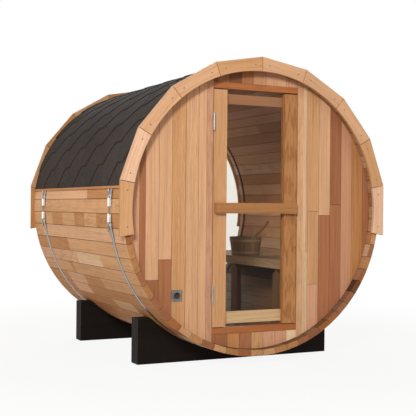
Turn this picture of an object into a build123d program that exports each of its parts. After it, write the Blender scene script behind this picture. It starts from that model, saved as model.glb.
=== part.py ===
from build123d import *
from math import acos, atan2, cos, degrees, hypot, pi, radians, sin, sqrt
import os

# Barrel sauna: a round cabin of cedar staves lying on two cradles
# The barrel's axis runs along Y, the door faces -Y, +Z is up, sizes in millimetres
# The origin is on the ground under the middle of the barrel

# Barrel of staves
barrel_diameter = 1800.0
barrel_length = 1830.0
stave_count = 64
stave_thickness = 38.0
staves_per_segment = 8

# End walls
front_recess = 50.0
rear_recess = 60.0
wall_thickness = 38.0

# Doorway and its frame
door_opening_width = 602.0
door_opening_below_staves = 125.0
door_opening_above_staves = 141.0
frame_depth = 44.0
jamb_width = 40.0
head_height = 37.0
sill_height = 39.0

# Door
door_thickness = 44.0
door_hinge_gap = 5.0
door_lock_gap = 7.0
door_top_gap = 8.0
door_bottom_gap = 5.0
stile_width = 90.0
door_glass_setback = 24.0
door_glass_thickness = 6.0
door_glass_groove = 12.0
door_top_rail_height = 61.0
door_top_rail_inset = 21.0
door_bottom_rail_height = 73.0
door_bottom_rail_inset = 15.0

# Handle bar across both stiles
handle_height = 65.0
handle_thickness = 28.0
handle_end_inset = 8.0
handle_centre_above_axis = 8.0

# Hinges
hinge_height = 106.0
hinge_top_inset = 198.0
hinge_bottom_inset = 201.0
hinge_knuckle_radius = 6.5
hinge_pin_radius = 3.0
hinge_pin_clearance = 0.06
hinge_knuckle_gap = 0.4
hinge_leaf_thickness = 2.0
hinge_leaf_width = 32.0
hinge_proud = 1.0

# Air vent in the front wall
vent_angle = 224.03
vent_from_staves = 119.7
vent_plate_width = 70.0
vent_plate_thickness = 2.0
vent_plate_corner = 4.0
vent_hole_diameter = 40.0
vent_collar_diameter = 49.0
vent_collar_height = 2.5

# Rear window
window_glass_thickness = 8.0
window_seal_height = 6.0
window_seal_width = 18.0
window_glass_groove = 4.0

# Fascia boards round both ends
fascia_sides = 18
fascia_boards = 10
fascia_corner_overhang = 38.0
fascia_width = 90.0
fascia_thickness = 22.0
fascia_joint_gap = 1.5

# Roof shingles and the lath under each eave
roof_first_stave = 2
shingle_thickness = 8.5
eave_trim_height = 14.0
eave_trim_thickness = 9.0

# Steel bands and their tension rods on the left side
band_width = 40.0
band_thickness = 1.2
band_clearance = 0.4
band_lift = 6.0
band_lifted_staves = 5
front_band_from_end = 195.0
rear_band_from_end = 272.0
tensioner_centre = -10.0
band_gap = 44.0
band_tube_length = 49.0
band_tube_diameter = 15.0
band_tube_weld = 0.5
tension_rod_diameter = 8.0
tension_rod_clearance = 0.5
tension_rod_length = 244.0
tension_nut_width = 13.0
tension_nut_height = 14.0
end_nut_height = 10.0

# Cradles
cradle_web_height = 55.0
cradle_wrap_height = 226.0
cradle_horn_width = 84.6
cradle_thickness = 104.0
front_cradle_from_end = 292.0
rear_cradle_from_end = 352.0

# Bench along the right wall
bench_front_from_staves = 517.0
bench_top_above_staves = 524.0
bench_slat_count = 4
bench_slat_gap = 12.0
bench_slat_thickness = 26.0
bench_rail_height = 58.0
bench_rail_thickness = 26.0
bench_end_gap = 20.0
bench_wall_gap = 12.0
bench_frame_count = 3
bench_frame_spacing = 600.0
bench_frame_offset = 100.0
bench_leg_width = 89.0
bench_leg_thickness = 38.0
bench_bearer_height = 64.0

# Bucket and ladle standing on the bench
bucket_top_diameter = 240.0
bucket_bottom_diameter = 202.0
bucket_height = 135.0
bucket_wall = 11.0
bucket_base = 12.0
bucket_y = 90.0
bucket_from_bench_front = 112.0
ladle_bowl_diameter = 84.0
ladle_bowl_wall = 3.0
ladle_handle_diameter = 20.0
ladle_handle_length = 300.0
ladle_turn_angle = -71.0
ladle_bowl_offset = 42.0
ladle_gap = 0.4

# Values worked out from the sizes above
barrel_radius = barrel_diameter / 2
barrel_axis_height = barrel_radius + cradle_web_height
inner_radius = barrel_radius - stave_thickness
barrel_end = barrel_length / 2
stave_angle = 360.0 / stave_count
segment_count = stave_count // staves_per_segment
corner_factor = 1 / cos(pi / stave_count)
wall_front = -barrel_end + front_recess
wall_back = wall_front + wall_thickness
frame_back = wall_front + frame_depth
window_rear = barrel_end - rear_recess
window_middle = window_rear - window_seal_width / 2
window_inner = window_rear - window_seal_width
opening_left = -door_opening_width / 2
opening_right = door_opening_width / 2
opening_top = inner_radius - door_opening_below_staves
opening_bottom = -inner_radius + door_opening_above_staves
door_left = opening_left + door_hinge_gap
door_right = opening_right - door_lock_gap
door_bottom = opening_bottom + door_bottom_gap
door_top = opening_top - door_top_gap
door_height = door_top - door_bottom
door_middle_x = (door_left + door_right) / 2
door_middle_z = (door_top + door_bottom) / 2
door_back = wall_front + door_thickness
glass_front = wall_front + door_glass_setback
glass_back = glass_front + door_glass_thickness
inner_corner = inner_radius * corner_factor
outer_corner = barrel_radius * corner_factor

os.makedirs("parts", exist_ok=True)


def elevation(y):
    """A drawing plane across the barrel: its origin is on the axis, its normal points forward."""
    return Plane(origin=(0, y, barrel_axis_height), x_dir=(1, 0, 0), z_dir=(0, -1, 0))


def write(piece, name):
    piece.part.label = name
    export_step(piece.part, f"parts/{name}.step")


def ring_point(radius, degrees):
    return (radius * cos(radians(degrees)), radius * sin(radians(degrees)))


def staves_outline(radius):
    """The many-sided outline of the staves, one side for each stave."""
    return RegularPolygon(radius, stave_count, major_radius=False, rotation=stave_angle / 2)


# Wall of staves, in segments
for segment in range(segment_count):
    first_angle = stave_angle * (0.5 + segment * staves_per_segment)
    angles = [first_angle + stave_angle * side for side in range(staves_per_segment + 1)]
    outer_points = [ring_point(outer_corner, angle) for angle in angles]
    inner_points = [ring_point(inner_corner, angle) for angle in reversed(angles)]
    with BuildPart() as wall_segment:
        with BuildSketch(elevation(barrel_end)):
            with BuildLine():
                Polyline(*outer_points, *inner_points, close=True)
            make_face()
        extrude(amount=barrel_length)
    write(wall_segment, f"wall_segment_{segment + 1:02d}")


# Front wall boards left and right of the doorway, with the vent hole on the left
vent_centre = ring_point(inner_radius - vent_from_staves, vent_angle)
jamb_outer = opening_right + jamb_width
side_width = barrel_radius - jamb_outer
with BuildPart() as front_wall_left:
    with BuildSketch(elevation(wall_back)):
        staves_outline(inner_radius)
        with Locations((-jamb_outer - side_width / 2, 0)):
            Rectangle(side_width, barrel_diameter, mode=Mode.INTERSECT)
        with Locations(vent_centre):
            Circle(vent_hole_diameter / 2, mode=Mode.SUBTRACT)
    extrude(amount=wall_thickness)
write(front_wall_left, "front_wall_left")

with BuildPart() as front_wall_right:
    with BuildSketch(elevation(wall_back)):
        staves_outline(inner_radius)
        with Locations((jamb_outer + side_width / 2, 0)):
            Rectangle(side_width, barrel_diameter, mode=Mode.INTERSECT)
    extrude(amount=wall_thickness)
write(front_wall_right, "front_wall_right")

# Front wall boards over the head and under the sill
head_top = opening_top + head_height
sill_bottom = opening_bottom - sill_height
with BuildPart() as front_wall_top:
    with BuildSketch(elevation(wall_back)):
        staves_outline(inner_radius)
        with Locations((0, (head_top + barrel_radius) / 2)):
            Rectangle(door_opening_width, barrel_radius - head_top, mode=Mode.INTERSECT)
    extrude(amount=wall_thickness)
write(front_wall_top, "front_wall_top")

with BuildPart() as front_wall_bottom:
    with BuildSketch(elevation(wall_back)):
        staves_outline(inner_radius)
        with Locations((0, (sill_bottom - barrel_radius) / 2)):
            Rectangle(door_opening_width, barrel_radius + sill_bottom, mode=Mode.INTERSECT)
    extrude(amount=wall_thickness)
write(front_wall_bottom, "front_wall_bottom")

# Door frame: two jambs from stave to stave, a head and a sill between them
for side, name in ((-1, "door_jamb_left"), (1, "door_jamb_right")):
    with BuildPart() as door_jamb:
        with BuildSketch(elevation(frame_back)):
            staves_outline(inner_radius)
            with Locations((side * (opening_right + jamb_width / 2), 0)):
                Rectangle(jamb_width, barrel_diameter, mode=Mode.INTERSECT)
        extrude(amount=frame_depth)
    write(door_jamb, name)

with BuildPart() as door_head:
    with BuildSketch(elevation(frame_back)):
        with Locations((0, opening_top + head_height / 2)):
            Rectangle(door_opening_width, head_height)
    extrude(amount=frame_depth)
write(door_head, "door_head")

with BuildPart() as door_sill:
    with BuildSketch(elevation(frame_back)):
        with Locations((0, opening_bottom - sill_height / 2)):
            Rectangle(door_opening_width, sill_height)
    extrude(amount=frame_depth)
write(door_sill, "door_sill")

# Door stiles, each with a groove for the glass
glass_left = door_left + stile_width - door_glass_groove
glass_right = door_right - stile_width + door_glass_groove
glass_middle = (glass_left + glass_right) / 2
glass_width = glass_right - glass_left
for name, stile_x in (
    ("door_stile_left", door_left + stile_width / 2),
    ("door_stile_right", door_right - stile_width / 2),
):
    with BuildPart() as door_stile:
        with BuildSketch(elevation(door_back)):
            with Locations((stile_x, door_middle_z)):
                Rectangle(stile_width, door_height)
        extrude(amount=door_thickness)
        with BuildSketch(elevation(glass_back)):
            with Locations((glass_middle, door_middle_z)):
                Rectangle(glass_width, door_height)
        extrude(amount=door_glass_thickness, mode=Mode.SUBTRACT)
    write(door_stile, name)

with BuildPart() as door_glass:
    with BuildSketch(elevation(glass_back)):
        with Locations((glass_middle, door_middle_z)):
            Rectangle(glass_width, door_height)
    extrude(amount=door_glass_thickness)
write(door_glass, "door_glass")

# Door rails behind the glass, between the stiles
top_rail_z = door_top - door_top_rail_inset - door_top_rail_height / 2
bottom_rail_z = door_bottom + door_bottom_rail_inset + door_bottom_rail_height / 2
rail_width = door_right - door_left - 2 * stile_width
with BuildPart() as door_rails:
    with BuildSketch(elevation(door_back)):
        with Locations((door_middle_x, top_rail_z)):
            Rectangle(rail_width, door_top_rail_height)
        with Locations((door_middle_x, bottom_rail_z)):
            Rectangle(rail_width, door_bottom_rail_height)
    extrude(amount=door_back - glass_back)
write(door_rails, "door_rails")

# Handle bar
with BuildPart() as door_handle:
    with BuildSketch(elevation(wall_front)):
        with Locations((door_middle_x, handle_centre_above_axis)):
            Rectangle(door_right - door_left - 2 * handle_end_inset, handle_height)
    extrude(amount=handle_thickness)
write(door_handle, "door_handle")

# Hinges: three knuckles each, the middle one and the pin on the door's leaf
hinge_x = (opening_left + door_left) / 2
hinge_y = wall_front - hinge_proud - hinge_knuckle_radius
knuckle_height = (hinge_height - 2 * hinge_knuckle_gap) / 3
leaf_front = hinge_y
leaf_back = wall_front + hinge_leaf_width
hinge_centres = (door_top - hinge_top_inset, door_bottom + hinge_bottom_inset)
hinge_bottoms = [barrel_axis_height + centre - hinge_height / 2 for centre in hinge_centres]
knuckle_step = knuckle_height + hinge_knuckle_gap
relief_radius = hinge_knuckle_radius + hinge_knuckle_gap
bore_radius = hinge_pin_radius + hinge_pin_clearance

with BuildPart() as hinge_frame_leaves:
    for bottom in hinge_bottoms:
        with BuildSketch(Plane.XY.offset(bottom)):
            with Locations((opening_left + hinge_leaf_thickness / 2, (leaf_front + leaf_back) / 2)):
                Rectangle(hinge_leaf_thickness, leaf_back - leaf_front)
        extrude(amount=hinge_height)
        for level in (bottom, bottom + 2 * knuckle_step):
            with BuildSketch(Plane.XY.offset(level)):
                with Locations((hinge_x, hinge_y)):
                    Circle(hinge_knuckle_radius)
            extrude(amount=knuckle_height)
        with BuildSketch(Plane.XY.offset(bottom + knuckle_height)):
            with Locations((hinge_x, hinge_y)):
                Circle(relief_radius)
        extrude(amount=knuckle_height + 2 * hinge_knuckle_gap, mode=Mode.SUBTRACT)
        with BuildSketch(Plane.XY.offset(bottom)):
            with Locations((hinge_x, hinge_y)):
                Circle(bore_radius)
        extrude(amount=hinge_height, mode=Mode.SUBTRACT)
write(hinge_frame_leaves, "hinge_frame_leaves")

with BuildPart() as hinge_door_leaves:
    for bottom in hinge_bottoms:
        with BuildSketch(Plane.XY.offset(bottom)):
            with Locations((door_left - hinge_leaf_thickness / 2, (leaf_front + leaf_back) / 2)):
                Rectangle(hinge_leaf_thickness, leaf_back - leaf_front)
        extrude(amount=hinge_height)
        for level in (bottom - hinge_knuckle_gap, bottom + 2 * knuckle_step - hinge_knuckle_gap):
            with BuildSketch(Plane.XY.offset(level)):
                with Locations((hinge_x, hinge_y)):
                    Circle(relief_radius)
            extrude(amount=knuckle_height + 2 * hinge_knuckle_gap, mode=Mode.SUBTRACT)
        with BuildSketch(Plane.XY.offset(bottom + knuckle_step)):
            with Locations((hinge_x, hinge_y)):
                Circle(hinge_knuckle_radius)
        extrude(amount=knuckle_height)
        with BuildSketch(Plane.XY.offset(bottom)):
            with Locations((hinge_x, hinge_y)):
                Circle(hinge_pin_radius)
        extrude(amount=hinge_height)
write(hinge_door_leaves, "hinge_door_leaves")

# Vent plate over the hole in the front wall
with BuildPart() as vent_plate:
    with BuildSketch(elevation(wall_front)):
        with Locations(vent_centre):
            RectangleRounded(vent_plate_width, vent_plate_width, vent_plate_corner)
    extrude(amount=vent_plate_thickness)
    with BuildSketch(elevation(wall_front)):
        with Locations(vent_centre):
            Circle(vent_collar_diameter / 2)
    extrude(amount=vent_plate_thickness + vent_collar_height)
    with BuildSketch(elevation(wall_front)):
        with Locations(vent_centre):
            Circle(vent_hole_diameter / 2)
    extrude(amount=vent_plate_thickness + vent_collar_height, mode=Mode.SUBTRACT)
write(vent_plate, "vent_plate")

# Rear window: one round pane in a grooved seal that lines the staves
glass_radius = inner_radius - window_seal_height + window_glass_groove
with BuildPart() as rear_window_seal:
    with BuildSketch(elevation(window_rear)):
        staves_outline(inner_radius)
        RegularPolygon(
            inner_radius - window_seal_height,
            stave_count,
            major_radius=False,
            rotation=stave_angle / 2,
            mode=Mode.SUBTRACT,
        )
    extrude(amount=window_seal_width)
    with BuildSketch(elevation(window_middle + window_glass_thickness / 2)):
        staves_outline(glass_radius)
    extrude(amount=window_glass_thickness, mode=Mode.SUBTRACT)
write(rear_window_seal, "rear_window_seal")

with BuildPart() as rear_window:
    with BuildSketch(elevation(window_middle + window_glass_thickness / 2)):
        staves_outline(glass_radius)
    extrude(amount=window_glass_thickness)
write(rear_window, "rear_window")

# Fascia boards: mitred boards round the upper part of each end, arched on the inside
fascia_angle = 360.0 / fascia_sides
fascia_circumradius = barrel_radius + fascia_corner_overhang
fascia_inner_radius = fascia_circumradius - fascia_width
fascia_end_angle = 90.0 - fascia_angle * fascia_boards / 2
far = 2 * fascia_circumradius
fascia_joints = [fascia_end_angle + fascia_angle * joint for joint in range(1, fascia_boards)]
for name, back in (("front_fascia", -barrel_end), ("rear_fascia", barrel_end + fascia_thickness)):
    with BuildPart() as fascia:
        with BuildSketch(elevation(back)):
            RegularPolygon(fascia_circumradius, fascia_sides, rotation=90.0)
            Circle(fascia_inner_radius, mode=Mode.SUBTRACT)
            with BuildLine():
                Polyline(
                    (0, 0),
                    ring_point(far, 180.0 - fascia_end_angle),
                    (-far, -far),
                    (far, -far),
                    ring_point(far, fascia_end_angle),
                    close=True,
                )
            make_face(mode=Mode.SUBTRACT)
            for joint in fascia_joints:
                with Locations(Location(ring_point(far / 2, joint), joint)):
                    Rectangle(far, fascia_joint_gap, mode=Mode.SUBTRACT)
        extrude(amount=fascia_thickness)
    write(fascia, name)

# Steel bands, each lifted off the staves at the left, where its ends carry a tube for the rod
tube_reach = band_gap / 2 + band_tube_length
band_limit = 180.0 - stave_angle * band_lifted_staves / 2
band_sides = round(2 * band_limit / stave_angle)
band_angles = [stave_angle * side - band_limit for side in range(band_sides + 1)]
rod_x = -(barrel_radius + band_lift + band_thickness - band_tube_weld + band_tube_diameter / 2)
front_band_y = -barrel_end + front_band_from_end
rear_band_y = barrel_end - rear_band_from_end


def band_outline(height):
    """The closed line that lies this height above the underside of a band."""
    lifted_x = -(barrel_radius + band_lift + height)
    ring = [ring_point((barrel_radius + height) * corner_factor, angle) for angle in band_angles]
    return [*ring, (lifted_x, tensioner_centre + tube_reach), (lifted_x, tensioner_centre - tube_reach)]


for name, band_y in (("front_band", front_band_y), ("rear_band", rear_band_y)):
    with BuildPart() as band:
        with BuildSketch(elevation(band_y + band_width / 2)):
            with BuildLine():
                Polyline(*band_outline(band_thickness), close=True)
            make_face()
            with BuildLine():
                Polyline(*band_outline(0), close=True)
            make_face(mode=Mode.SUBTRACT)
            with Locations((-barrel_radius, tensioner_centre)):
                Rectangle(barrel_radius, band_gap, mode=Mode.SUBTRACT)
        extrude(amount=band_width)
        for side in (1, -1):
            tube_centre = tensioner_centre + side * (band_gap + band_tube_length) / 2
            tube_bottom = barrel_axis_height + tube_centre - band_tube_length / 2
            with BuildSketch(Plane.XY.offset(tube_bottom)):
                with Locations((rod_x, band_y)):
                    Circle(band_tube_diameter / 2)
            extrude(amount=band_tube_length)
            with BuildSketch(Plane.XY.offset(tube_bottom)):
                with Locations((rod_x, band_y)):
                    Circle(tension_rod_diameter / 2 + tension_rod_clearance)
            extrude(amount=band_tube_length, mode=Mode.SUBTRACT)
    write(band, name)

# Tension rods with a nut outside each tube and a domed nut on each end
rod_middle = barrel_axis_height + tensioner_centre
rod_half = tension_rod_length / 2
nuts = (
    (rod_middle + tube_reach, tension_nut_height),
    (rod_middle - tube_reach - tension_nut_height, tension_nut_height),
    (rod_middle + rod_half - end_nut_height, end_nut_height),
    (rod_middle - rod_half, end_nut_height),
)
with BuildPart() as tension_rods:
    for band_y in (front_band_y, rear_band_y):
        with BuildSketch(Plane.XY.offset(rod_middle - rod_half)):
            with Locations((rod_x, band_y)):
                Circle(tension_rod_diameter / 2)
        extrude(amount=tension_rod_length)
        for nut_bottom, nut_height in nuts:
            with BuildSketch(Plane.XY.offset(nut_bottom)):
                with Locations((rod_x, band_y)):
                    RegularPolygon(tension_nut_width / 2, 6, major_radius=False, rotation=30)
            extrude(amount=nut_height)
        for tip in (rod_middle + rod_half, rod_middle - rod_half):
            with Locations((rod_x, band_y, tip)):
                Sphere(tension_nut_width / 2)
write(tension_rods, "tension_rods")

# Roof shingles over the staves, with room for the bands under them
roof_start = stave_angle * (roof_first_stave - 0.5)
roof_sides = round((180.0 - 2 * roof_start) / stave_angle)
roof_angles = [roof_start + stave_angle * side for side in range(roof_sides + 1)]
shingle_corner = (barrel_radius + shingle_thickness) * corner_factor
shingle_outer = [ring_point(shingle_corner, angle) for angle in roof_angles]
shingle_inner = [ring_point(outer_corner, angle) for angle in reversed(roof_angles)]
with BuildPart() as roof_shingles:
    with BuildSketch(elevation(barrel_end)):
        with BuildLine():
            Polyline(*shingle_outer, *shingle_inner, close=True)
        make_face()
    extrude(amount=barrel_length)
    for band_y in (front_band_y, rear_band_y):
        with BuildSketch(elevation(band_y + band_width / 2 + band_clearance)):
            with BuildLine():
                Polyline(*band_outline(band_thickness + band_clearance), close=True)
            make_face()
        extrude(amount=band_width + 2 * band_clearance, mode=Mode.SUBTRACT)
write(roof_shingles, "roof_shingles")

# Lath under the lower edge of the shingles on each side, notched over the bands
with BuildPart() as eave_trims:
    for side in (1, -1):
        edge_angle = 90.0 - side * (90.0 - roof_start)
        flat_angle = edge_angle - side * stave_angle / 2
        flat_point = ring_point(barrel_radius, flat_angle)
        along = barrel_radius * sin(radians(stave_angle / 2)) - eave_trim_height / 2
        with BuildSketch(elevation(barrel_end)):
            with Locations(Location(flat_point, flat_angle)):
                with Locations((eave_trim_thickness / 2, side * along)):
                    Rectangle(eave_trim_thickness, eave_trim_height)
        extrude(amount=barrel_length)
    for band_y in (front_band_y, rear_band_y):
        with BuildSketch(elevation(band_y + band_width / 2 + band_clearance)):
            with BuildLine():
                Polyline(*band_outline(band_thickness + band_clearance), close=True)
            make_face()
        extrude(amount=band_width + 2 * band_clearance, mode=Mode.SUBTRACT)
write(eave_trims, "eave_trims")

# Cradles cut to the barrel, which lies between two horns of each cradle
cradle_height = cradle_web_height + cradle_wrap_height
cradle_chord = 2 * sqrt(barrel_radius**2 - (barrel_radius - cradle_wrap_height) ** 2)
cradle_length = cradle_chord + 2 * cradle_horn_width
front_cradle_y = -barrel_end + front_cradle_from_end + cradle_thickness / 2
rear_cradle_y = barrel_end - rear_cradle_from_end - cradle_thickness / 2
for name, cradle_y in (("front_cradle", front_cradle_y), ("rear_cradle", rear_cradle_y)):
    with BuildPart() as cradle:
        with BuildSketch(elevation(cradle_y + cradle_thickness / 2)):
            with Locations((0, cradle_height / 2 - barrel_axis_height)):
                Rectangle(cradle_length, cradle_height)
            RegularPolygon(
                barrel_radius,
                stave_count,
                major_radius=False,
                rotation=stave_angle / 2,
                mode=Mode.SUBTRACT,
            )
        extrude(amount=cradle_thickness)
    write(cradle, name)

# Bench: legs and bearers fitted to the staves, a front rail and slats along the barrel
bench_front = inner_radius - bench_front_from_staves
bench_top = -inner_radius + bench_top_above_staves
bench_middle_y = (wall_back + window_inner) / 2
bench_length = window_inner - wall_back - 2 * bench_end_gap
slat_bottom = bench_top - bench_slat_thickness
frame_ys = [
    bench_middle_y + bench_frame_offset + bench_frame_spacing * (place - (bench_frame_count - 1) / 2)
    for place in range(bench_frame_count)
]
leg_x = bench_front + bench_rail_thickness + bench_leg_thickness / 2
bench_back = sqrt(inner_radius**2 - slat_bottom**2) - bench_wall_gap
bearer_left = bench_front + bench_rail_thickness

with BuildPart() as bench_legs:
    for frame_y in frame_ys:
        with BuildSketch(elevation(frame_y + bench_leg_width / 2)):
            staves_outline(inner_radius)
            with Locations((leg_x, (slat_bottom - bench_bearer_height - barrel_radius) / 2)):
                Rectangle(
                    bench_leg_thickness,
                    barrel_radius + slat_bottom - bench_bearer_height,
                    mode=Mode.INTERSECT,
                )
        extrude(amount=bench_leg_width)
write(bench_legs, "bench_legs")

with BuildPart() as bench_bearers:
    for frame_y in frame_ys:
        with BuildSketch(elevation(frame_y + bench_leg_thickness / 2)):
            staves_outline(inner_radius)
            with Locations(((bearer_left + barrel_radius) / 2, slat_bottom - bench_bearer_height / 2)):
                Rectangle(barrel_radius - bearer_left, bench_bearer_height, mode=Mode.INTERSECT)
        extrude(amount=bench_leg_thickness)
write(bench_bearers, "bench_bearers")

with BuildPart() as bench_front_rail:
    with BuildSketch(elevation(bench_middle_y + bench_length / 2)):
        with Locations((bench_front + bench_rail_thickness / 2, bench_top - bench_rail_height / 2)):
            Rectangle(bench_rail_thickness, bench_rail_height)
    extrude(amount=bench_length)
write(bench_front_rail, "bench_front_rail")

slats_left = bench_front + bench_rail_thickness
slat_pitch = (bench_back - slats_left + bench_slat_gap) / bench_slat_count
bench_slat_width = slat_pitch - bench_slat_gap
with BuildPart() as bench_slats:
    with BuildSketch(elevation(bench_middle_y + bench_length / 2)):
        for slat in range(bench_slat_count):
            slat_x = slats_left + bench_slat_width / 2 + slat_pitch * slat
            with Locations((slat_x, bench_top - bench_slat_thickness / 2)):
                Rectangle(bench_slat_width, bench_slat_thickness)
    extrude(amount=bench_length)
write(bench_slats, "bench_slats")

# Wooden bucket on the bench
bucket_x = bench_front + bucket_from_bench_front
bucket_floor = barrel_axis_height + bench_top
bucket_slope = (bucket_top_diameter - bucket_bottom_diameter) / 2 / bucket_height
base_inner = bucket_bottom_diameter / 2 - bucket_wall + bucket_slope * bucket_base
with BuildPart() as bucket:
    with BuildSketch(Plane(origin=(bucket_x, bucket_y, bucket_floor), x_dir=(1, 0, 0), z_dir=(0, -1, 0))):
        with BuildLine():
            Polyline(
                (0, 0),
                (bucket_bottom_diameter / 2, 0),
                (bucket_top_diameter / 2, bucket_height),
                (bucket_top_diameter / 2 - bucket_wall, bucket_height),
                (base_inner, bucket_base),
                (0, bucket_base),
                close=True,
            )
        make_face()
    revolve(axis=Axis((bucket_x, bucket_y, 0), (0, 0, 1)))
write(bucket, "bucket")

# Ladle: a bowl on the bucket's floor, with a round handle that leans on the rim
bowl_radius = ladle_bowl_diameter / 2
handle_radius = ladle_handle_diameter / 2
bowl_z = bucket_floor + bucket_base + bowl_radius + ladle_gap
handle_root = bowl_radius - ladle_bowl_wall - ladle_bowl_offset
handle_root_z = bowl_z - handle_radius
rim_run = bucket_top_diameter / 2 - bucket_wall - handle_root
rim_rise = bucket_floor + bucket_height - handle_root_z
rim_offset = handle_radius + ladle_gap
handle_tilt = degrees(acos(rim_offset / hypot(rim_run, rim_rise)) - atan2(rim_rise, rim_run))
ladle_direction = Location((bucket_x, bucket_y, 0), (0, 0, ladle_turn_angle))
with BuildPart() as ladle:
    with Locations(ladle_direction):
        with Locations((-ladle_bowl_offset, 0, bowl_z)):
            Sphere(bowl_radius)
            Box(
                ladle_bowl_diameter,
                ladle_bowl_diameter,
                ladle_bowl_diameter,
                align=(Align.CENTER, Align.CENTER, Align.MIN),
                mode=Mode.SUBTRACT,
            )
        with Locations(Location((handle_root, 0, handle_root_z), (0, handle_tilt, 0))):
            Cylinder(
                handle_radius,
                ladle_handle_length,
                align=(Align.CENTER, Align.CENTER, Align.MIN),
            )
        with Locations((-ladle_bowl_offset, 0, bowl_z)):
            Sphere(bowl_radius - ladle_bowl_wall, mode=Mode.SUBTRACT)
write(ladle, "ladle")
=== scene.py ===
import math
import random

import bpy
from mathutils import Matrix, Vector
from mathutils.geometry import tessellate_polygon


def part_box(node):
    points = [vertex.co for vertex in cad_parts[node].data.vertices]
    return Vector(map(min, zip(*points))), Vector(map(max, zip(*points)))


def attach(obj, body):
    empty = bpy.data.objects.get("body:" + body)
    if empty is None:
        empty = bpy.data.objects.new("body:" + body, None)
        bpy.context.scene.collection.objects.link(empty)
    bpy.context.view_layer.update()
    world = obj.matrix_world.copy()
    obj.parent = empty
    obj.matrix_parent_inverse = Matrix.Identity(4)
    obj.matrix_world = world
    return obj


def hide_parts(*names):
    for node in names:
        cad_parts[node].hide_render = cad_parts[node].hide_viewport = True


# Barrel sauna, in metres: the axis runs along Y, the door faces -Y
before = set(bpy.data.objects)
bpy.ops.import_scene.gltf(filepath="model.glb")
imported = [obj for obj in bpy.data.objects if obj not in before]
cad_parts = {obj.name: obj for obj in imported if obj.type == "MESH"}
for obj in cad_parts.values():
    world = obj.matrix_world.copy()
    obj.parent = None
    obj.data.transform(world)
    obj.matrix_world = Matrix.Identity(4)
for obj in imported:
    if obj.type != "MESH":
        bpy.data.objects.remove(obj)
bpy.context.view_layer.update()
rng = random.Random(11)

# Sizes that the CAD part has too
AXIS_Z = 0.955
OUTER = 0.900
INNER = 0.862
END = 0.915
STAVES = 64
STAVE_STEP = math.tau / STAVES
STAVE_TURN = -0.0145
WALL_FRONT = -0.865
WALL_BACK = -0.827
JAMB_OUTER = 0.341
OPENING = 0.301
HEAD_TOP = 0.774
SILL_BOTTOM = -0.760
FASCIA_CORNER = 0.938
FASCIA_INNER = 0.848
FASCIA_THICKNESS = 0.022
ROOF_START = math.radians(8.4375)
VENT = (-0.5337, -0.5159)
VENT_HOLE = 0.020
BAND_CENTRES = (-0.720, 0.643)

# Cedar tones as they look in daylight, in sRGB
TONES = {
    "cream": (232, 203, 166),
    "pale": (220, 184, 148),
    "blush": (228, 187, 156),
    "tan": (212, 166, 128),
    "pink": (208, 158, 126),
    "honey": (204, 156, 112),
    "salmon": (196, 144, 112),
    "amber": (186, 132, 84),
    "russet": (168, 112, 78),
    "rust": (166, 104, 62),
    "brown": (158, 104, 72),
    "dark": (128, 82, 56),
}


def linear(rgb):
    """An sRGB colour from 0 to 255 as the linear colour that Blender works with."""
    parts = [c / 255 for c in rgb]
    return tuple(c / 12.92 if c <= 0.04045 else ((c + 0.055) / 1.055) ** 2.4 for c in parts)


def tone_colour(name, shade=1.0):
    return tuple(c * shade for c in linear(TONES[name]))


# Node helpers


class Tree:
    """The cleared node tree of a new material or world, with one short call per node."""

    def __init__(self, name, kind="materials"):
        self.owner = getattr(bpy.data, kind).new(name)
        self.owner.use_nodes = True
        self.tree = self.owner.node_tree
        self.tree.nodes.clear()

    def node(self, kind, inputs=None, **settings):
        made = self.tree.nodes.new("ShaderNode" + kind)
        for key, value in settings.items():
            setattr(made, key, value)
        for key, value in (inputs or {}).items():
            self.put(made.inputs[key], value)
        return made

    def put(self, socket, value):
        if isinstance(value, bpy.types.NodeSocket):
            self.tree.links.new(value, socket)
        elif isinstance(value, tuple) and len(value) == 3 and socket.type == "RGBA":
            socket.default_value = (*value, 1)
        else:
            socket.default_value = value

    def math(self, operation, a, b=0.0):
        return self.node("Math", {0: a, 1: b}, operation=operation).outputs[0]

    def scaled(self, vector, scale):
        return self.node("VectorMath", {0: vector, 1: scale}, operation="MULTIPLY").outputs[0]

    def noise(self, vector, scale, detail, roughness=0.55):
        wanted = {"Vector": vector, "Scale": scale, "Detail": detail, "Roughness": roughness}
        return self.node("TexNoise", wanted).outputs[0]

    def ramp(self, factor, stops):
        made = self.node("ValToRGB", {0: factor})
        elements = made.color_ramp.elements
        while len(elements) < len(stops):
            elements.new(0.5)
        for element, (place, colour) in zip(elements, stops):
            element.position = place
            element.color = (*colour, 1)
        return made.outputs[0]

    def mix(self, factor, a, b, blend="MIX"):
        """Two colours mixed: inputs 6 and 7 are a colour mix's A and B."""
        wanted = {0: factor, 6: a, 7: b}
        return self.node("Mix", wanted, data_type="RGBA", blend_type=blend).outputs[2]

    def times(self, a, b, factor=1.0):
        return self.mix(factor, a, b, "MULTIPLY")

    def grey(self, factor, low, high):
        return self.node("MapRange", {0: factor, 3: low, 4: high}).outputs[0]

    def between(self, value, start, stop, low, high):
        """low where value is start, high where it is stop, and a straight run between them."""
        wanted = {0: value, 1: start, 2: stop, 3: low, 4: high}
        return self.node("MapRange", wanted).outputs[0]

    def object_place(self):
        return self.node("TexCoord").outputs["Object"]

    def background_share(self):
        """1 for a ray from the camera, or one that a mirror or glass sends on, and 0 for the rest."""
        path = self.node("LightPath")
        seen = self.math("MAXIMUM", path.outputs["Is Camera Ray"], path.outputs["Is Glossy Ray"])
        return self.math("MAXIMUM", seen, path.outputs["Is Transmission Ray"])

    def finish(self, shader, kind="OutputMaterial"):
        self.node(kind, {0: shader})
        return self.owner


# Which coordinates run along, across and through a board whose grain follows an axis
GRAIN_ORDER = {"X": (0, 1, 2), "Y": (1, 0, 2), "Z": (2, 0, 1)}


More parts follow.
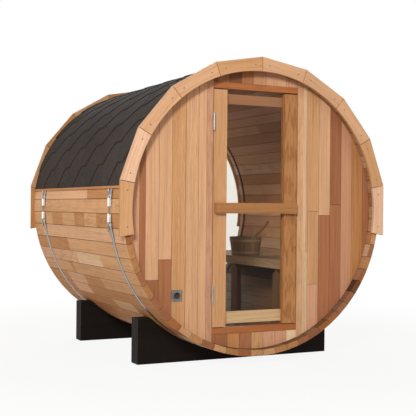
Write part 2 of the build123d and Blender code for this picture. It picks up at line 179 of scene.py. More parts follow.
def grain_vector(tree, axis, shift):
    """Grain coordinates: along, across and through the board. Boards made here carry their own."""
    if axis is None:
        return tree.node("Attribute", attribute_name="grain").outputs["Vector"]
    place = tree.object_place()
    split = tree.node("SeparateXYZ", {0: place})
    order = GRAIN_ORDER[axis]
    parts = {i: split.outputs[order[i]] for i in range(3)}
    joined = tree.node("CombineXYZ", parts).outputs[0]
    return tree.node("VectorMath", {0: joined, 1: shift}, operation="ADD").outputs[0]


def wood(name, colour=None, axis=None, shift=None, **more):
    """Cedar: fine streaks along the grain, growth rings as strong as figure says, and pores."""
    rough, relief = more.get("rough", 0.62), more.get("relief", 0.25)
    tree = Tree(name)
    grain = grain_vector(tree, axis, shift)
    if colour is None:
        painted = tree.node("Attribute", attribute_name="tone")
        base, amount = painted.outputs["Color"], painted.outputs["Alpha"]
    else:
        base = tree.node("RGB").outputs[0]
        base.default_value = (*colour, 1)
        amount = more.get("figure", 0.3)
    streak = tree.noise(tree.scaled(grain, (2.2, 95, 60)), 1.0, 5.0, 0.62)
    cloud = tree.noise(tree.scaled(grain, (0.9, 14, 9)), 1.0, 2.0)
    tilted = tree.node("Mapping", {"Vector": grain, "Rotation": (0.0, 0.045, 0.0)}).outputs[0]
    wave = tree.node(
        "TexWave",
        {
            "Vector": tree.scaled(tilted, (0.16, 1, 1)),
            "Scale": 34.0,
            "Distortion": 6.0,
            "Detail": 2.0,
            "Detail Scale": 1.6,
            "Detail Roughness": 0.45,
        },
        wave_type="RINGS",
        rings_direction="X",
    ).outputs["Fac"]
    pore = tree.noise(tree.scaled(grain, (18, 620, 620)), 1.0, 2.0)
    streaks = tree.ramp(
        streak,
        [(0.30, (0.80, 0.75, 0.70)), (0.50, (0.99, 0.985, 0.98)), (0.70, (1.05, 1.05, 1.05))],
    )
    clouds = tree.ramp(cloud, [(0.30, (0.93, 0.915, 0.90)), (0.70, (1.05, 1.05, 1.05))])
    rings = tree.ramp(
        wave,
        [(0.0, (0.68, 0.57, 0.47)), (0.35, (0.93, 0.89, 0.85)), (0.65, (1.03, 1.03, 1.02))],
    )
    pores = tree.ramp(pore, [(0.35, (0.93, 0.915, 0.90)), (0.55, (1.02, 1.02, 1.02))])
    colour_out = tree.times(tree.times(tree.times(base, streaks), clouds), pores)
    colour_out = tree.times(colour_out, rings, amount)
    height = tree.math("ADD", tree.math("MULTIPLY", wave, 0.4), tree.math("MULTIPLY", pore, 0.6))
    bump = tree.node("Bump", {"Strength": relief, "Distance": 0.0008, "Height": height})
    shader = tree.node(
        "BsdfPrincipled",
        {
            "Base Color": colour_out,
            "Roughness": tree.grey(streak, rough + 0.10, rough - 0.08),
            "Normal": bump.outputs[0],
        },
    )
    shader.inputs["Specular IOR Level"].default_value = more.get("gloss", 0.15)
    return tree.finish(shader.outputs[0])


# Sleeves on the left ends of the bands made bright as a painted highlight, and the bands' edges darkened as
# painted shade
SLEEVE_REACH, SLEEVE_HIGHLIGHT_COLOUR = (0.085, 0.095), (0.80, 0.79, 0.78)
BAND_EDGE, BAND_EDGE_PAINTED_SHADE = (0.009, 0.014), 0.40


def steel(name, colour, rough, sleeves=None):
    """Brushed steel. sleeves is the height of the middle of bright sleeves on it, if it has any: there the
    steel gets a painted highlight, and the bands' edges get painted shade.
    """
    tree = Tree(name)
    place = tree.object_place()
    brushed = tree.noise(tree.scaled(place, (240, 240, 900)), 1.0, 3.0)
    stain = tree.noise(place, 22.0, 3.0)
    tint = tree.ramp(stain, [(0.3, tuple(c * 0.80 for c in colour)), (0.65, colour)])
    if sleeves:
        x, y, z = tree.node("SeparateXYZ", {0: place}).outputs
        away = tree.math("ABSOLUTE", tree.math("SUBTRACT", z, sleeves))
        # Painted highlight: the sleeves on the left made bright
        near = tree.between(away, *SLEEVE_REACH, 1.0, 0.0)
        near = tree.math("MULTIPLY", near, tree.math("LESS_THAN", x, 0.0))
        # Painted shade: the bands darkened towards their edges
        aside = [tree.math("ABSOLUTE", tree.math("SUBTRACT", y, middle)) for middle in BAND_CENTRES]
        from_middle = tree.math("MINIMUM", *aside)
        tint = tree.times(tint, tree.between(from_middle, *BAND_EDGE, 1.0, BAND_EDGE_PAINTED_SHADE))
        tint = tree.mix(near, tint, SLEEVE_HIGHLIGHT_COLOUR)
    bump = tree.node("Bump", {"Strength": 0.12, "Distance": 0.0002, "Height": brushed})
    shader = tree.node(
        "BsdfPrincipled",
        {
            "Base Color": tint,
            "Roughness": tree.grey(brushed, rough - 0.06, rough + 0.10),
            "Normal": bump.outputs[0],
        },
    )
    shader.inputs["Metallic"].default_value = 1.0
    return tree.finish(shader.outputs[0])


def pane(name, tint, mirror):
    """Thin glass that lets light through and mirrors a little."""
    tree = Tree(name)
    place = tree.object_place()
    haze = tree.noise(place, 3.0, 2.0)
    through = tree.ramp(haze, [(0.3, tuple(c * 0.985 for c in tint)), (0.7, tint)])
    clear = tree.node("BsdfTransparent", {0: through})
    gloss = tree.node("BsdfGlossy", {"Color": (1.0, 1.0, 1.0), "Roughness": 0.03})
    edge = tree.node("Fresnel", {"IOR": 1.45})
    share = tree.math("MULTIPLY", edge.outputs[0], mirror)
    mixed = tree.node("MixShader", {0: share, 1: clear.outputs[0], 2: gloss.outputs[0]})
    return tree.finish(mixed.outputs[0])


DARK_RUBBER, LIGHT_RUBBER = (0.012, 0.010, 0.008), (0.028, 0.024, 0.020)


def rubber(name, lighter):
    """Matt brownish black, made so many times lighter."""
    tree = Tree(name)
    place = tree.object_place()
    dust = tree.noise(place, 60.0, 3.0)
    dark, light = (tuple(c * lighter for c in grey) for grey in (DARK_RUBBER, LIGHT_RUBBER))
    base = tree.ramp(dust, [(0.3, dark), (0.7, light)])
    bump = tree.node("Bump", {"Strength": 0.2, "Distance": 0.0004, "Height": dust})
    wanted = {"Base Color": base, "Roughness": tree.grey(dust, 0.55, 0.75), "Normal": bump.outputs[0]}
    return tree.finish(tree.node("BsdfPrincipled", wanted).outputs[0])


def shingle(name):
    """Mineral granules pressed into bitumen."""
    tree = Tree(name)
    place = tree.object_place()
    shade = tree.node("Attribute", attribute_name="tone").outputs["Color"]
    grit = tree.node("TexVoronoi", {"Vector": place, "Scale": 520.0})
    cloud = tree.noise(place, 9.0, 3.0)
    speckle = tree.ramp(
        grit.outputs["Color"],
        [(0.15, (0.58, 0.56, 0.56)), (0.55, (1.0, 1.0, 1.0)), (0.92, (1.55, 1.5, 1.46))],
    )
    clouds = tree.ramp(cloud, [(0.3, (0.86, 0.86, 0.87)), (0.7, (1.10, 1.09, 1.07))])
    bump = tree.node("Bump", {"Strength": 0.55, "Distance": 0.0009, "Height": grit.outputs["Distance"]})
    wanted = {
        "Base Color": tree.times(tree.times(shade, speckle), clouds),
        "Roughness": tree.grey(cloud, 0.86, 0.97),
        "Normal": bump.outputs[0],
    }
    shader = tree.node("BsdfPrincipled", wanted)
    shader.inputs["Specular IOR Level"].default_value = 0.05
    return tree.finish(shader.outputs[0])


def bitumen(name):
    """The black of a shingle's cut edge, and of the painted shadow strips under the tabs' edges."""
    tree = Tree(name)
    place = tree.object_place()
    lumps = tree.noise(place, 400.0, 2.0)
    base = tree.ramp(lumps, [(0.3, (0.004, 0.004, 0.004)), (0.7, (0.012, 0.011, 0.010))])
    bump = tree.node("Bump", {"Strength": 0.3, "Distance": 0.0004, "Height": lumps})
    wanted = {"Base Color": base, "Roughness": tree.grey(lumps, 0.7, 0.9), "Normal": bump.outputs[0]}
    shader = tree.node("BsdfPrincipled", wanted)
    shader.inputs["Specular IOR Level"].default_value = 0.2
    return tree.finish(shader.outputs[0])


CEDAR = wood("cedar_boards")
STEEL = steel("stainless_steel", (0.40, 0.375, 0.35), 0.36, sleeves=AXIS_Z - 0.010)
HINGE_STEEL = steel("hinge_steel", (0.40, 0.385, 0.365), 0.40)
ZINC = steel("zinc_steel", (0.30, 0.285, 0.27), 0.34)
DULL_STEEL = steel("vent_steel", (0.22, 0.19, 0.165), 0.40)
SCREW_STEEL = steel("screw_steel", (0.16, 0.14, 0.13), 0.45)
SHINGLE = shingle("asphalt_shingle")
BITUMEN_AND_PAINTED_SHADOW = bitumen("shingle_edge_and_painted_shadow")
VENT_SCREEN = rubber("vent_screen_mesh", 2.2)
SEAL_RUBBER = rubber("brown_rubber", 2.8)
DOOR_GLASS = pane("bronze_glass", (0.975, 0.958, 0.92), 0.14)
REAR_GLASS = pane("clear_glass", (0.96, 0.965, 0.96), 0.3)
BLACK_TIMBER = wood(
    "black_timber",
    linear((26, 20, 17)),
    "X",
    (0.3, 0.1, 0.05),
    rough=0.6,
    figure=0.1,
    relief=0.5,
    gloss=0.08,
)


# Mesh helpers


def grain_shift():
    """A random place in the tree that a board is cut from."""
    return (rng.uniform(-9, 9), rng.uniform(-0.05, 0.05), rng.uniform(0.02, 0.09))


def inset(loop, by):
    """A closed 2D loop, counterclockwise, with every side moved inwards."""
    moved = []
    count = len(loop)
    for i, (x, y) in enumerate(loop):
        ax, ay = x - loop[i - 1][0], y - loop[i - 1][1]
        bx, by_ = loop[(i + 1) % count][0] - x, loop[(i + 1) % count][1] - y
        la, lb = math.hypot(ax, ay), math.hypot(bx, by_)
        na, nb = (-ay / la, ax / la), (-by_ / lb, bx / lb)
        share = by / max(0.35, 1 + na[0] * nb[0] + na[1] * nb[1])
        moved.append((x + (na[0] + nb[0]) * share, y + (na[1] + nb[1]) * share))
    return moved


class Boards:
    """Boards gathered into one mesh: each keeps its own grain coordinates, tone and figure."""

    def __init__(self):
        self.verts = []
        self.faces = []
        self.grain = []
        self.tone = []

    def add(self, loop, place, length, tone, end_tone, ease, grain_axis, hole=None, **more):
        """Extrudes a 2D loop (x, y) along z, in the frame whose axes are the columns of place.
        figure is how strong the growth rings show, groove how dark the sides between the eased
        edges are, as painted shade in the seams, shades how dark each point of the loop is, as painted
        shade, and recess how dark the loop's first two points are in the recess before the front wall,
        as painted shade. A hole's sides get painted shade too."""
        figure = more.get("figure", rng.choice((0.0, 0.1, 0.2, 0.35)))
        groove = more.get("groove", 1.0)
        shades = more.get("shades") or [1.0] * len(loop)
        shift = grain_shift()
        order = GRAIN_ORDER[grain_axis]
        rings = []
        recess = more.get("recess")
        levels = [(0, ease), (ease, 0), (length - ease, 0), (length, ease)]
        if recess:
            levels[2:2] = [(RECESS_DARK, 0), (RECESS_CLEAR, 0)]
        for level, by in levels:
            edges = [inset(loop, by)]
            painted_shades = list(shades)
            # Painted shade on the first two points in the recess before the front wall
            if recess and ease <= level <= RECESS_DARK:
                painted_shades[:2] = [recess] * 2
            if hole:
                edges.append(inset(hole, by))
                # Painted shade on the hole's sides
                painted_shades += [0.5] * len(hole)
            first = len(self.verts)
            colour = end_tone if by and end_tone else tone
            for (x, y), shade in zip([p for edge in edges for p in edge], painted_shades):
                local = (x, y, level)
                self.verts.append(place @ Vector(local))
                self.grain.append(tuple(local[order[i]] + shift[i] for i in range(3)))
                # Painted shade from groove on the sides between the eased edges; the ends keep their tone
                shade = 1.0 if by else shade * groove
                self.tone.append((*(c * shade for c in colour), figure))
            rings.append(first)
        sizes = [len(loop)] + ([len(hole)] if hole else [])
        for low, high in zip(rings, rings[1:]):
            start = 0
            for size in sizes:
                for i in range(size):
                    j = (i + 1) % size
                    self.faces.append((low + start + i, low + start + j, high + start + j, high + start + i))
                start += size
        if hole:
            flat = [[Vector((x, y, 0)) for x, y in loop], [Vector((x, y, 0)) for x, y in hole]]
            corners = tessellate_polygon(flat)
            points = loop + hole
            for a, b, c in corners:
                (ax, ay), (bx, by_), (cx, cy) = points[a], points[b], points[c]
                turn = (bx - ax) * (cy - ay) - (by_ - ay) * (cx - ax)
                up = (a, b, c) if turn > 0 else (a, c, b)
                self.faces.append(tuple(rings[-1] + i for i in up))
                self.faces.append(tuple(rings[0] + i for i in reversed(up)))
        else:
            self.faces.append(tuple(rings[-1] + i for i in range(len(loop))))
            self.faces.append(tuple(rings[0] + i for i in reversed(range(len(loop)))))

    def block(self, low, high, tone, figure):
        """One straight piece between a lower and an upper outline, both counterclockwise from above."""
        first, count = len(self.verts), len(low)
        shift = grain_shift()
        for outline in (low, high):
            for point in outline:
                self.verts.append(point)
                along = (point - low[0]).dot((high[0] - low[0]).normalized())
                across = (point - outline[0]).length
                self.grain.append((along + shift[0], across + shift[1], shift[2]))
                self.tone.append((*tone, figure))
        for i in range(count):
            j = (i + 1) % count
            self.faces.append((first + i, first + j, first + count + j, first + count + i))
        self.faces.append(tuple(first + count + i for i in range(count)))
        self.faces.append(tuple(first + i for i in reversed(range(count))))

    def make(self, name, material, body, slot, *nodes):
        piece = mesh_piece(name, self.verts, self.faces, material, body, slot, *nodes)
        grain = piece.data.attributes.new("grain", "FLOAT_VECTOR", "POINT")
        grain.data.foreach_set("vector", [c for g in self.grain for c in g])
        tone = piece.data.attributes.new("tone", "FLOAT_COLOR", "POINT")
        tone.data.foreach_set("color", [c for t in self.tone for c in t])


def mesh_piece(name, verts, faces, material, body, slot, *nodes):
    mesh = bpy.data.meshes.new(name)
    mesh.from_pydata([tuple(v) for v in verts], [], faces)
    mesh.validate()
    mesh.materials.append(material)
    piece = bpy.data.objects.new(name, mesh)
    bpy.context.scene.collection.objects.link(piece)
    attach(piece, body)
    if nodes:
        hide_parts(*nodes)
    return piece


def frame_matrix(origin, x_axis, y_axis, z_axis):
    rows = zip(x_axis, y_axis, z_axis, origin)
    return Matrix((*rows, (0, 0, 0, 1)))


def around(angle):
    """Across and outward directions of the barrel at an angle, with +Y as the third."""
    radial = (math.cos(angle), 0, math.sin(angle))
    tangent = (-math.sin(angle), 0, math.cos(angle))
    return tangent, radial


# Staves with a rounded edge that nests in the next one
STAVE_BOW = 0.0052
STAVE_GAP = 0.0004
STAVE_EASE = 0.0030
STAVE_EASE_IN = 0.0022
STAVE_END_EASE, STAVE_JOINT_EASE, STAVE_JOINT_GAP = 0.0016, 0.0004, 0.0002
BOW_STEPS = 5
# The staves' sides in the grooves between them get painted shade
PAINTED_GROOVE_SHADE = 0.30
# The inside of low staves is darkened by painted shade: the lowest shade, and how low the fading to it starts
# and how long it is
LOW_INSIDE_PAINTED_SHADE, SHADE_FROM, SHADE_OVER = 0.36, 0.2, 0.5
# In the recess before the front wall the staves' inner faces get painted shade: the shade, how deep it is
# full, how deep it is gone, its staves
RECESS_PAINTED_SHADE, RECESS_DARK, RECESS_CLEAR = 0.72, 0.052, 0.085
RECESS_LEFTMOST, RECESS_LOWEST = 0.3, -0.2
SEEN_LIFT = 1.05


def stave_loop(inside_painted_shade):
    """The stave's outline and how dark each point is, as painted shade: the foot of each groove is darkest.
    """
    half_in = INNER * math.tan(STAVE_STEP / 2) - STAVE_GAP
    half_out = OUTER * math.tan(STAVE_STEP / 2) - STAVE_GAP
    right, left = [], []
    depth = OUTER - INNER - STAVE_EASE - STAVE_EASE_IN
    for i in range(BOW_STEPS + 1):
        k = i / BOW_STEPS
        level = INNER + STAVE_EASE_IN + depth * k
        half = half_in + (half_out - half_in) * k
        bow = 4 * STAVE_BOW * k * (1 - k)
        right.append((half + bow, level))
        left.append((-half + bow, level))
    top = [(half_out - STAVE_EASE, OUTER), (-half_out + STAVE_EASE, OUTER)]
    bottom = [(-half_in + STAVE_EASE_IN, INNER), (half_in - STAVE_EASE_IN, INNER)]
    side = [PAINTED_GROOVE_SHADE] * (BOW_STEPS + 1)
    inside = [inside_painted_shade] * 2
    return bottom + right + top + left[::-1], inside + side + [1, 1] + side


# Pieces of the staves that the photograph shows on the left: joints along Y, and tones front to back
SEEN_STAVES = {
    31: ((-0.277, 0.861), ("amber", "tan", "tan")),
    32: ((-0.795, 0.752), ("honey", "honey", "tan")),
    33: (
        (-0.645, -0.458, -0.231, -0.031, 0.229, 0.466),
        ("amber", "amber", "honey", "amber", "honey", "amber", "honey"),
    ),
    34: ((-0.651, 0.731), ("tan", "tan", "honey")),
    35: ((0.186, 0.568), ("honey", "amber", "amber")),
    36: ((-0.389, 0.086), ("honey", "pale", "tan")),
    37: ((0.239, 0.309), ("honey", "amber", "honey")),
    38: ((-0.203, 0.129, 0.496), ("honey", "amber", "tan", "amber")),
    39: ((0.177, 0.5), ("amber", "tan", "amber")),
    40: ((-0.498, -0.154), ("amber", "tan", "amber")),
    41: ((0.05,), ("amber", "russet")),
    42: ((-0.35, 0.4), ("russet", "amber", "russet")),
}
STAVE_TONES = ["tan", "pink", "honey", "pale", "salmon", "tan"]
STAVE_TONES += ["honey", "amber", "honey", "amber", "pink", "russet"]
DARK_STAVE = 58
SHORTEST_PIECE, JOINT_REACH, JOINT_COUNTS = 0.12, 0.8, (0, 1, 1, 2, 3)
END_TONES = ["amber", "brown", "rust", "brown", "amber", "russet", "honey"]
stave_angles = []
for segment in range(8):
    boards = Boards()
    for member in range(8):
        number = 1 + segment * 8 + member
        angle = STAVE_STEP * number + STAVE_TURN
        tangent, radial = around(angle)
        # Low staves get painted shade on their inside, fading in towards the bottom
        lowness = min(1.0, max(0.0, (-radial[2] - SHADE_FROM) / SHADE_OVER))
        stave_outline, stave_painted_shades = stave_loop(1.0 - (1.0 - LOW_INSIDE_PAINTED_SHADE) * lowness)
        count = rng.choice(JOINT_COUNTS)
        joints = sorted(rng.uniform(-JOINT_REACH, JOINT_REACH) for _ in range(count))
        joints = [y for i, y in enumerate(joints) if i == 0 or y - joints[i - 1] > SHORTEST_PIECE]
        tones = [rng.choice(STAVE_TONES) for _ in range(len(joints) + 1)]
        if number in SEEN_STAVES:
            joints, tones = SEEN_STAVES[number]
        limits = [-END, *joints, END]
        for front, back, tone_name in zip(limits, limits[1:], tones):
            lift = SEEN_LIFT if number in SEEN_STAVES else 1.0
            tone = tone_colour(tone_name, rng.uniform(0.94, 1.02) * lift)
            end = tone_colour(rng.choice(END_TONES), rng.uniform(0.80, 1.0))
            if number == DARK_STAVE:
                tone = end = tone_colour("dark", 0.75)
            at_front, at_rear = front == -END, back == END
            # Staves on the right, not the lowest, get painted shade inside the recess before the front wall
            in_recess = at_front and radial[0] > RECESS_LEFTMOST and radial[2] > RECESS_LOWEST
            start = front + (0.0 if at_front else STAVE_JOINT_GAP)
            stop = back - (0.0 if at_rear else STAVE_JOINT_GAP)
            place = frame_matrix((0, start, AXIS_Z), tangent, radial, (0, 1, 0))
            boards.add(
                stave_outline,
                place,
                stop - start,
                tone,
                end,
                STAVE_END_EASE if at_front or at_rear else STAVE_JOINT_EASE,
                "Z",
                shades=stave_painted_shades,
                recess=RECESS_PAINTED_SHADE if in_recess else None,
            )
        stave_angles.append(angle)
    name = f"wall_segment_{segment + 1:02d}"
    boards.make(f"staves_{segment + 1:02d}", CEDAR, "cabin", "cedar_staves", name)


# Front wall boards, clipped to the staves
WALL_CLEARANCE = 0.0006


def half_height(x):
    return math.sqrt(max(0.0, (INNER - WALL_CLEARANCE) ** 2 - x * x))


def board_loop(left, right, bottom, top):
    """A vertical board between two heights, or to the staves where a height is None."""
    steps = [left + (right - left) * i / 4 for i in range(5)]
    low = [(x, -half_height(x)) for x in steps] if bottom is None else [(left, bottom), (right, bottom)]
    high = [(x, half_height(x)) for x in reversed(steps)] if top is None else [(right, top), (left, top)]
    return low + high


WALL_GAP = 0.0003
WALL_EASE = 0.0018
WALL_PLACE = frame_matrix((0, WALL_BACK, AXIS_Z), (1, 0, 0), (0, 0, 1), (0, -1, 0))
WALL_THICKNESS = WALL_BACK - WALL_FRONT


def wall_board(boards, left, right, bottom, top, tone, hole=None, **more):
    loop = board_loop(left + WALL_GAP, right - WALL_GAP, bottom, top)
    # The boards' edge faces get painted shade, as in the seams between them
    boards.add(loop, WALL_PLACE, WALL_THICKNESS, tone, None, WALL_EASE, "Y", hole, groove=0.6, **more)


# Boards from the doorway outwards: tone, lower and upper end, strength of the growth rings
LEFT_SEAMS = [-JAMB_OUTER, -0.396, -0.480, -0.570, -0.654, -0.738, -0.777, -0.8605]
LEFT_BOARDS = [
    [("tan", None, None, 0.0)],
    [("tan", None, None, 0.35)],
    [("honey", None, None, 0.5)],
    [("russet", None, -0.30, 0.2), ("tan", -0.30, None, 0.05)],
    [("brown", None, -0.42, 0.3), ("tan", -0.42, None, 0.0)],
    [("russet", None, None, 0.1)],
    [("pink", None, None, 0.1)],
]
RIGHT_SEAMS = [JAMB_OUTER, 0.368, 0.377, 0.463, 0.549, 0.635, 0.719, 0.805, 0.8605]
RIGHT_BOARDS = [
    [("pale", None, None, 0.1)],
    [("cream", None, -0.27, 0.0), ("tan", -0.27, None, 0.1)],
    [("pink", None, -0.475, 0.0), ("honey", -0.475, -0.008, 0.15), ("honey", -0.008, None, 0.1)],
    [("russet", None, -0.034, 0.2), ("tan", -0.034, None, 0.0)],
    [("russet", None, 0.036, 0.2), ("brown", 0.036, None, 0.2)],
    [("salmon", None, None, 0.05)],
    [("amber", None, None, 0.25)],
    [("russet", None, None, 0.2)],
]


def circle_loop(centre, radius, count=32):
    angles = [math.tau * i / count for i in range(count)]
    return [(centre[0] + radius * math.cos(a), centre[1] + radius * math.sin(a)) for a in angles]


def holds_vent(left, right, bottom, top):
    within = (bottom is None or bottom < VENT[1]) and (top is None or VENT[1] < top)
    return left < VENT[0] < right and within


def side_wall(name, seams, boards_wanted, node):
    boards = Boards()
    for a, b, parts in zip(seams, seams[1:], boards_wanted):
        left, right = min(a, b), max(a, b)
        for tone, bottom, top, figure in parts:
            hole = circle_loop(VENT, VENT_HOLE)[::-1] if holds_vent(left, right, bottom, top) else None
            low = bottom if bottom is None else bottom + WALL_GAP
            high = top if top is None else top - WALL_GAP
            wall_board(boards, left, right, low, high, tone_colour(tone), hole, figure=figure)
    boards.make(name, CEDAR, "cabin", "cedar_boards", node)


side_wall("wall_boards_left", LEFT_SEAMS, LEFT_BOARDS, "front_wall_left")
side_wall("wall_boards_right", RIGHT_SEAMS, RIGHT_BOARDS, "front_wall_right")

MIDDLE_SEAMS = [-OPENING, -0.275, -0.191, -0.107, -0.023, 0.061, 0.145, 0.229, OPENING]
TOP_TONES = ["dark", "brown", "dark", "russet", "salmon", "pink", "tan", "pink"]
BOTTOM_TONES = ["brown", "brown", "amber", "russet", "honey", "pink", "pink", "cream"]
for name, node, tones, low, high in (
    ("wall_boards_top", "front_wall_top", TOP_TONES, HEAD_TOP, None),
    ("wall_boards_bottom", "front_wall_bottom", BOTTOM_TONES, None, SILL_BOTTOM),
):
    boards = Boards()
    for left, right, tone in zip(MIDDLE_SEAMS, MIDDLE_SEAMS[1:], tones):
        wall_board(boards, left, right, low, high, tone_colour(tone))
    boards.make(name, CEDAR, "cabin", "cedar_boards", node)


# Fascia boards, mitred, with an arched inner edge
FASCIA_STEP = math.radians(20)
FASCIA_FIRST = math.radians(-10)
FASCIA_GAP = 0.0012
FASCIA_EASE = 0.0020
ARC_STEPS = 10
FASCIA_TONES = {
    "front": ["blush", "honey", "tan", "tan", "tan", "honey", "tan", "tan", "blush", "honey"],
    "rear": ["honey", "tan", "honey", "amber", "honey", "amber", "honey", "amber", "honey", "amber"],
}


def fascia_loop():
    """One board in its own frame: x along it, from its middle, and y outward from the axis."""
    half = FASCIA_STEP / 2
    gap = FASCIA_GAP / FASCIA_INNER
    side = FASCIA_CORNER * math.sin(half) - FASCIA_GAP
    top = FASCIA_CORNER * math.cos(half)
    arc = []
    for i in range(ARC_STEPS + 1):
        a = (half - gap) * (2 * i / ARC_STEPS - 1)
        arc.append((FASCIA_INNER * math.sin(a), FASCIA_INNER * math.cos(a)))
    return arc + [(side, top), (-side, top)]


fascia_outline = fascia_loop()
SCREW_SINK = 0.0008
FASCIA_FACE = END + FASCIA_THICKNESS - SCREW_SINK
for end, front in (("front", -END), ("rear", FASCIA_FACE)):
    boards = Boards()
    for number in range(10):
        angle = FASCIA_FIRST + FASCIA_STEP * (number + 0.5)
        radial = (math.cos(angle), 0, math.sin(angle))
        across = (math.sin(angle), 0, -math.cos(angle))
        place = frame_matrix((0, front, AXIS_Z), across, radial, (0, -1, 0))
        tone = tone_colour(FASCIA_TONES[end][number], rng.uniform(0.97, 1.03))
        depth = FASCIA_FACE - END
        # The boards' edge faces get painted shade, as in the mitre gaps
        boards.add(fascia_outline, place, depth, tone, None, FASCIA_EASE, "X", groove=0.8, figure=0.12)
    boards.make("fascia_" + end, CEDAR, "cabin", "fascia_cedar", end + "_fascia")


# Hexagonal shingle tabs on both sides of the ridge
TAB_PITCH = 0.3333
TAB_FOOT = 0.085
TAB_SLANT = 0.082
TAB_THICKNESS = 0.0026
TAB_RIM = 0.0045
TAB_ROUND, TAB_GAP = 0.0001, 0.0002
SHINGLE_RADIUS = 0.905
COURSE = math.radians(9.06)
COURSE_ARC = COURSE * SHINGLE_RADIUS
COURSES = 9
TAB_OFFSET = 0.058
TAB_LENGTH = 2 * COURSE_ARC + 0.012
NARROWEST_TAB = 0.004
LAY_RADIUS = 0.9012
TAB_RISE = TAB_THICKNESS * TAB_LENGTH / COURSE_ARC * 1.03
RIDGE = math.pi / 2
ROOF_END = END - 0.001
# Painted shade: each course is darker by this share, towards the ridge
PAINTED_SHADE_PER_COURSE = 0.058
# A black rim sticking out just under each tab's foot and sides: a painted shadow
RIM_LIFT, PAINTED_SHADOW_COLOUR = 0.0007, (0.004, 0.004, 0.004)
SHINGLE_COLOUR = linear((65, 59, 56))


def tab_edges(arc):
    """Half width of a tab at a distance above its foot."""
    if arc < COURSE_ARC:
        return TAB_FOOT / 2 + TAB_SLANT * arc / COURSE_ARC
    return TAB_PITCH / 2 - TAB_GAP


class Shell:
    """Thin curved sheets in one mesh: shingle on their faces, bitumen on cut edges and on the painted shadow
    strips under the tabs' edges.
    """

    def __init__(self):
        self.verts = []
        self.faces = []
        self.tone = []
        self.cut = []

    def sheet(self, rows, tone, face):
        """rows: for each level, the left and right points outside and inside (four Vectors). face is
        the material of the faces: 0, or 1 for bitumen, as on cut edges and on the painted shadow strips."""
        first = len(self.verts)
        for row in rows:
            self.verts.extend(row)
            self.tone.extend([tone] * 4)
        for i in range(len(rows) - 1):
            a = first + 4 * i
            b = a + 4
            for j, k, cut in ((0, 1, face), (1, 3, 1), (3, 2, face), (2, 0, 1)):
                self.faces.append((a + j, a + k, b + k, b + j))
                self.cut.append(cut)
        last = first + 4 * (len(rows) - 1)
        self.faces.append((first, first + 2, first + 3, first + 1))
        self.faces.append((last, last + 1, last + 3, last + 2))
        self.cut += [1, 1]

    def make(self, name, *nodes):
        piece = mesh_piece(name, self.verts, self.faces, SHINGLE, "cabin", "shingles", *nodes)
        piece.data.materials.append(BITUMEN_AND_PAINTED_SHADOW)
        piece.data.polygons.foreach_set("material_index", self.cut)
        tone = piece.data.attributes.new("tone", "FLOAT_COLOR", "POINT")
        tone.data.foreach_set("color", [c for t in self.tone for c in (*t, 1)])


def roof_point(side, angle, y, radius):
    x = radius * math.cos(angle)
    return Vector((-x if side < 0 else x, y, AXIS_Z + radius * math.sin(angle)))


TAB_STEPS, RIM_STEPS = 12, 6
TAB_ARCS = {i * TAB_LENGTH / TAB_STEPS for i in range(TAB_STEPS + 1)}
TAB_ARCS = sorted(TAB_ARCS | {COURSE_ARC - TAB_ROUND, COURSE_ARC})
RIM_ARCS = [-TAB_RIM + (COURSE_ARC + TAB_RIM) * i / RIM_STEPS for i in range(RIM_STEPS + 1)]


def rim_half(arc):
    return tab_edges(max(0.0, min(arc, COURSE_ARC - TAB_ROUND))) + TAB_RIM


def lay_tab(shell, side, foot, middle, arcs, half_width, thickness, tone, face):
    """Adds one tab, or the black rim under it that is a painted shadow, cut to the roof's edges. side is -1
    on the left and 1 on the right.
    """
    rows = []
    for arc in arcs:
        angle = foot + arc / SHINGLE_RADIUS
        if angle < ROOF_START - 1e-6 or angle > RIDGE:
            continue
        low = max(-ROOF_END, middle - half_width(arc))
        high = min(ROOF_END, middle + half_width(arc))
        if high - low < NARROWEST_TAB:
            continue
        under = LAY_RADIUS + TAB_RISE * (1 - arc / TAB_LENGTH)
        ends = (low, high) if side < 0 else (high, low)
        rows.append([roof_point(side, angle, y, under + lift) for lift in (thickness, 0.0) for y in ends])
    if len(rows) > 1:
        shell.sheet(rows, tone, face)


roof = Shell()
for side in (-1, 1):
    for course in range(-1, COURSES):
        foot = ROOF_START + COURSE * course
        offset = TAB_OFFSET + (TAB_PITCH / 2 if course % 2 else 0.0)
        for tab in range(-4, 5):
            middle = offset + TAB_PITCH * tab
            # A random tone for each tab, times painted shade that darkens the courses towards the ridge
            shade = rng.uniform(0.92, 1.08) * (1 - PAINTED_SHADE_PER_COURSE * max(0, course))
            tone = tuple(c * shade for c in SHINGLE_COLOUR)
            lay_tab(roof, side, foot, middle, TAB_ARCS, tab_edges, TAB_THICKNESS, tone, 0)
            # The tab's painted shadow: a black strip just under its foot and sides
            lay_tab(roof, side, foot, middle, RIM_ARCS, rim_half, RIM_LIFT, PAINTED_SHADOW_COLOUR, 1)
roof.make("shingle_tabs", "roof_shingles")

